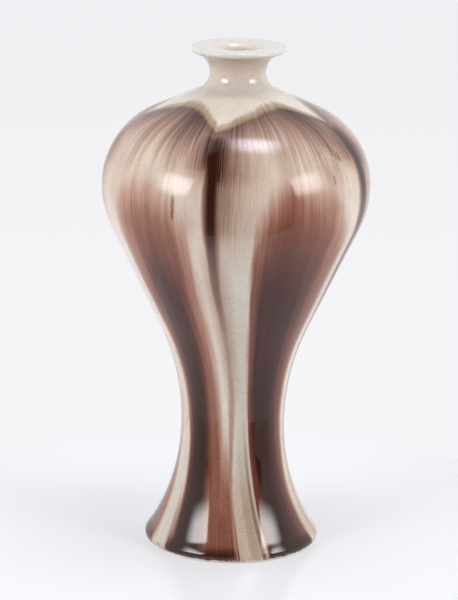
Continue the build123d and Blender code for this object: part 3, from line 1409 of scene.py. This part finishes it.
@dataclass(frozen=True)
class SoftBox:
    """One rectangular soft box, there for its light or for its reflection. Lengths are metres.

    Attributes:
        name: the lamp's name.
        place: its middle.
        across: direction along its width.
        aim: height of the point on the axis that it faces.
        size: its width, and its height or its depth where it hangs overhead.
        level: brightness at its middle, as a part of the studio's own.
        soft: how far it fades in from its left, right, lower and upper edge, as a part of its size.
        seen_by: the rays that it is there for.
        tint: screen colour of its light.
    """

    name: str
    place: tuple[float, float, float]
    across: tuple[float, float, float]
    aim: float
    size: tuple[float, float]
    level: float
    soft: tuple[float, float, float, float]
    seen_by: SeenBy
    tint: Colour = (255, 255, 255)

    @classmethod
    def on_stand(cls, name: str, azimuth: float, height: float, *rest: object) -> "SoftBox":
        """A soft box on a stand beside the camera.

        Args:
            name: the lamp's name.
            azimuth: where it stands, in degrees from the front.
            height: height of its middle.
            rest: its other fields, from its size on.

        Returns:
            The soft box.
        """
        turn, away, aim = math.radians(azimuth), 0.86, 0.16
        place = (away * math.sin(turn), -away * math.cos(turn), height)
        return cls(name, place, (math.cos(turn), math.sin(turn), 0.0), aim, *rest)

    @classmethod
    def overhead(cls, name: str, right: float, front: float, *rest: object) -> "SoftBox":
        """A soft box that hangs above the vase.

        Args:
            name: the lamp's name.
            right: how far to the right of the axis its middle is.
            front: how far in front of the axis it is.
            rest: its other fields, from its size on.

        Returns:
            The soft box.
        """
        height, aim = 1.15, 0.2
        return cls(name, (right, -front, height), (1.0, 0.0, 0.0), aim, *rest)

    def build(self, brightness: float) -> None:
        """Hang the lamp up and aim it.

        Args:
            brightness: the studio's own brightness.
        """
        data = bpy.data.lights.new(self.name, "AREA")
        data.shape = "RECTANGLE"
        data.size, data.size_y = self.size
        data.energy = brightness * self.level * math.pi * data.size * data.size_y
        graph = NodeGraph(data)
        spot = graph.node("ShaderNodeNewGeometry").outputs["Parametric"]
        split = graph.node("ShaderNodeSeparateXYZ")
        graph.links.new(spot, split.inputs[0])
        cover: Number = 1.0
        for socket, start, end in zip(split.outputs[:2], self.soft[0::2], self.soft[1::2]):
            edge = Signal(graph, socket)
            cover = edge.rise(0.0, start) * edge.fall(1.0 - end, 1.0) * cover
        graph.close(graph.emission(shade(*self.tint), cover), "ShaderNodeOutputLight")
        lamp = bpy.data.objects.new(self.name, data)
        bpy.context.scene.collection.objects.link(lamp)
        place = Vector(self.place)
        forward = (Vector((0.0, 0.0, self.aim)) - place).normalized()
        up = Vector(self.across).cross(forward).normalized()
        turn = Matrix((forward.cross(up), up, -forward)).transposed()
        lamp.matrix_world = Matrix.Translation(place) @ turn.to_4x4()
        lamp.visible_glossy = self.seen_by is SeenBy.REFLECTION
        lamp.visible_diffuse = self.seen_by is SeenBy.LIGHT


@dataclass
class Studio:
    """Pale table, soft boxes at both sides and overhead, and a dark room in front. Lengths are metres.

    Attributes:
        floor_size: length of the floor's sides.
        floor_drop: how far the floor lies below the vase's foot, so that they don't touch.
        table_radius: radius of the round table.
        table_drop: how far the table lies below the vase's foot.
        sheet_front: how far in front of the axis the white sheet ends.
        sheet_width: how wide the sheet is.
        sheet_depth: how far the sheet reaches from front to back.
        sheet_drop: how far the sheet lies below the table.
        cloth_size: length of the dark cloth's sides.
        cloth_front: how far in front of the axis the cloth's middle is.
        cloth_drop: how far the cloth lies below the sheet.
        dome_radius: radius of the dark dome.
        dome_back: how far behind the axis the dome ends.
        dome_low: height of its lower end.
        room_turn: direction that the dark part of the room faces, in degrees.
        front_glow: brightness of the room behind the camera.
        side_glow: how much brighter the room is at both sides.
        table_whites: screen colours of floor and table.
        sheet_whites: screen colours of the sheet.
        room_whites: screen colours of the room, from far away to near.
        box_level: brightness of the soft boxes at their middle.
        boxes: the soft boxes.
    """

    floor_size: float = 5.0
    floor_drop: float = 0.0002
    table_radius: float = 0.22
    table_drop: float = 0.0006
    sheet_front: float = 0.60
    sheet_width: float = 1.88
    sheet_depth: float = 2.6
    sheet_drop: float = 0.30
    cloth_size: float = 6.0
    cloth_front: float = 2.0
    cloth_drop: float = 0.001
    dome_radius: float = 2.6
    dome_back: float = 0.15
    dome_low: float = -0.4
    room_turn: float = 2.5
    front_glow: float = 0.03
    side_glow: float = 0.94
    table_whites: Stops = ((0.3, (233, 235, 240)), (0.7, (237, 239, 244)))
    sheet_whites: Stops = ((0.3, (228, 228, 234)), (0.7, (236, 236, 242)))
    room_whites: Stops = ((0.0, (240, 240, 243)), (1.0, (246, 245, 248)))
    box_level: float = 11.0
    boxes: tuple[SoftBox, ...] = (
        SoftBox.on_stand(
            "left_light", -55.5, 0.51, (0.58, 0.44), 1.0, (0.50, 0.10, 0.34, 0.34), SeenBy.LIGHT
        ),
        SoftBox.on_stand(
            "right_light", 63.5, 0.51, (0.56, 0.44), 1.0, (0.10, 0.50, 0.34, 0.34), SeenBy.LIGHT
        ),
        SoftBox.on_stand(
            "left_glint", -56.2, 0.48, (0.59, 0.50), 1.0, (0.50, 0.09, 0.40, 0.31), SeenBy.REFLECTION
        ),
        SoftBox.on_stand(
            "right_glint", 65.2, 0.475, (0.57, 0.51), 0.95, (0.09, 0.50, 0.40, 0.31), SeenBy.REFLECTION
        ),
        SoftBox.overhead(
            "overhead_light", 0.14, 0.10, (0.72, 0.38), 0.62, (0.34, 0.34, 0.34, 0.34), SeenBy.LIGHT
        ),
        SoftBox.overhead(
            "overhead_glint", 0.18, 0.115, (0.68, 0.56), 1.35, (0.50, 0.45, 0.42, 0.42), SeenBy.REFLECTION,
            (226, 237, 255),
        ),
    )

    def build(self) -> None:
        """Build the floor, the table, the sheet, the dark room, the soft boxes and the world."""
        self._floor()
        self._table()
        self._sheet()
        self._dark_room()
        for box in self.boxes:
            box.build(self.box_level)
        self._world()

    def _floor(self) -> None:
        """The glossy white floor with the vase's shadow, which fades into an even white away from it."""
        bpy.ops.object.select_all(action="DESELECT")
        bpy.ops.mesh.primitive_plane_add(size=self.floor_size, location=(0.0, 0.0, -self.floor_drop))
        floor = bpy.context.active_object
        floor.name = "floor"
        graph = NodeGraph.of_material("white_floor")
        place, x, y, _ = graph.place_mm()
        cloud = graph.noise(place, 0.004, 2.0)
        shader = graph.node("ShaderNodeBsdfPrincipled")
        graph.feed(shader.inputs["Base Color"], graph.ramp(cloud, self.table_whites))
        graph.feed(shader.inputs["Roughness"], cloud * 0.04 + 0.05)
        near = y.fall(150.0, 1900.0)
        rim, fade = self.table_radius / MM, 14.0
        on_table = graph.from_axis(x, y).fall(rim - fade, rim)
        even = graph.ramp(near, self.room_whites)
        graph.partly_lit(even, shader.outputs["BSDF"], on_table * 0.55 + 0.03)
        floor.data.materials.append(graph.owner)
        floor.visible_glossy = False
        floor.visible_shadow = False

    def _table(self) -> None:
        """The round white table top that the vase mirrors."""
        bpy.ops.object.select_all(action="DESELECT")
        bpy.ops.mesh.primitive_circle_add(
            vertices=160, radius=self.table_radius, fill_type="NGON", location=(0.0, 0.0, -self.table_drop)
        )
        table = bpy.context.active_object
        table.name = "table"
        graph = NodeGraph.of_material("white_table")
        place, _, _, _ = graph.place_mm()
        colour = graph.ramp(graph.noise(place, 0.004, 2.0), self.table_whites)
        shader = graph.node("ShaderNodeBsdfDiffuse")
        graph.feed(shader.inputs["Color"], colour)
        graph.partly_lit(colour, shader.outputs["BSDF"], 0.58)
        table.data.materials.append(graph.owner)
        self._only_reflected(table)

    @staticmethod
    def _only_reflected(piece: bpy.types.Object) -> None:
        """Keep a stage piece for reflections alone.

        Args:
            piece: the stage piece.
        """
        piece.visible_camera = False
        piece.visible_diffuse = False
        piece.visible_shadow = False

    def _sheet(self) -> None:
        """The white sheet that the vase mirrors beyond the table's edge."""
        graph = NodeGraph.of_material("white_sheet")
        place, _, _, _ = graph.place_mm()
        graph.close(graph.emission(graph.ramp(graph.noise(place, 0.003, 2.0), self.sheet_whites)))
        bpy.ops.object.select_all(action="DESELECT")
        behind = self.sheet_depth / 2 - self.sheet_front
        bpy.ops.mesh.primitive_plane_add(size=1.0, location=(0.0, behind, -self.sheet_drop))
        sheet = bpy.context.active_object
        sheet.name = "white_sheet"
        bpy.ops.transform.resize(value=(self.sheet_width, self.sheet_depth, 1.0))
        sheet.data.materials.append(graph.owner)
        self._only_reflected(sheet)

    def _dark_room(self) -> None:
        """A dark cloth under the sheet and a dark dome round the front."""
        graph = NodeGraph.of_material("dark_room")
        _, x, y, z = graph.place_mm()
        sheet, top = -self.sheet_drop / MM, 600.0
        middle = z.rise(sheet, top) * 4.5 + self.room_turn
        side = (graph.azimuth(x, y) - middle).size()
        edge = z.rise(sheet, -130.0) * (1.0 - z.rise(-60.0, top) * 0.8) * 12.0 + 44.5
        bright = (side - edge).rise(0.0, 4.0) * 0.7 + side.rise(62.0, 110.0) * 0.3
        graph.close(graph.emission(shade(250, 250, 255), bright * self.side_glow + self.front_glow))
        bpy.ops.object.select_all(action="DESELECT")
        spot = (0.0, -self.cloth_front, -self.cloth_drop - self.sheet_drop)
        bpy.ops.mesh.primitive_plane_add(size=self.cloth_size, location=spot)
        cloth = bpy.context.active_object
        cloth.name = "dark_cloth"
        bpy.ops.object.transform_apply(location=True)
        bpy.ops.object.select_all(action="DESELECT")
        bpy.ops.mesh.primitive_uv_sphere_add(
            segments=48, ring_count=24, radius=self.dome_radius, location=(0.0, 0.0, 0.0)
        )
        dome = bpy.context.active_object
        dome.name = "dark_dome"
        back, low = (0.0, self.dome_back, 0.0), (0.0, 0.0, self.dome_low)
        bpy.ops.object.mode_set(mode="EDIT")
        bpy.ops.mesh.select_all(action="SELECT")
        bpy.ops.mesh.bisect(plane_co=back, plane_no=(0.0, 1.0, 0.0), clear_outer=True)
        bpy.ops.mesh.select_all(action="SELECT")
        bpy.ops.mesh.bisect(plane_co=low, plane_no=(0.0, 0.0, 1.0), clear_inner=True)
        bpy.ops.object.mode_set(mode="OBJECT")
        cloth.data.materials.append(graph.owner)
        self._only_reflected(cloth)
        dome.data.materials.append(graph.owner)
        dome.visible_camera = False

    def _world(self) -> None:
        """White all round, which the dark room hides from the vase in front."""
        world = bpy.data.worlds.new("white_room")
        bpy.context.scene.world = world
        graph = NodeGraph(world)
        split = graph.node("ShaderNodeSeparateXYZ")
        graph.links.new(graph.node("ShaderNodeTexCoord").outputs["Generated"], split.inputs[0])
        lower = Signal(graph, split.outputs[2]).fall(-0.30, -0.13)
        white = graph.node("ShaderNodeBackground")
        graph.feed(white.inputs["Color"], graph.ramp(lower, self.room_whites))
        white.inputs["Strength"].default_value = 1.0
        graph.close(white.outputs[0], "ShaderNodeOutputWorld")


@dataclass(frozen=True)
class PhotoCamera:
    """The camera at the photograph's viewing angle, for an image of 458 by 600 pixels.

    Attributes:
        place: where it stands, in metres.
        focal: focal length in pixels.
        pan: turn to the right, in radians.
        tilt: turn downwards, in radians.
        roll: roll, in radians.
        tall: the image's longer side in pixels.
        sensor: the sensor's longer side in millimetres.
    """

    place: tuple[float, float, float] = (0.0, -1.64915, 0.58658)
    focal: float = 2876.31
    pan: float = -0.0020
    tilt: float = 0.2604
    roll: float = 0.0143
    tall: int = 600
    sensor: float = 36.0

    def build(self) -> bpy.types.Object:
        """Set up the camera and make it the scene's own.

        Returns:
            The camera.
        """
        data = bpy.data.cameras.new("photo_camera")
        data.sensor_width = self.sensor
        data.lens = self.focal / self.tall * self.sensor
        data.clip_start = 0.05
        camera = bpy.data.objects.new("photo_camera", data)
        bpy.context.scene.collection.objects.link(camera)
        forward = Vector(
            (
                math.sin(self.pan) * math.cos(self.tilt),
                math.cos(self.pan) * math.cos(self.tilt),
                -math.sin(self.tilt),
            )
        )
        right = Vector((math.cos(self.pan), -math.sin(self.pan), 0.0))
        upward = right.cross(forward)
        rolled_right = right * math.cos(self.roll) + upward * math.sin(self.roll)
        rolled_up = upward * math.cos(self.roll) - right * math.sin(self.roll)
        turn = Matrix((rolled_right, rolled_up, -forward)).transposed()
        camera.matrix_world = Matrix.Translation(self.place) @ turn.to_4x4()
        bpy.context.scene.camera = camera
        return camera


def main() -> None:
    """Build the vase's looks and the studio in order."""
    logging.basicConfig(level=logging.INFO, format="%(name)s: %(message)s")
    bpy.context.scene.view_settings.view_transform = "Standard"
    ClayBody().dress(BiscuitClay(), BiscuitClay("joint_slip", (208, 190, 168)), PlainGlaze())
    skin, glaze = GlazeSkin(), FlambeGlaze()
    coat = skin.build(glaze)
    skin.dress(coat, glaze)
    LOG.info("built %s with %d faces", coat.name, len(coat.data.polygons))
    Studio().build()
    LOG.info("built the studio")
    PhotoCamera().build()
    LOG.info("set the camera")


if __name__ == "__main__":
    main()
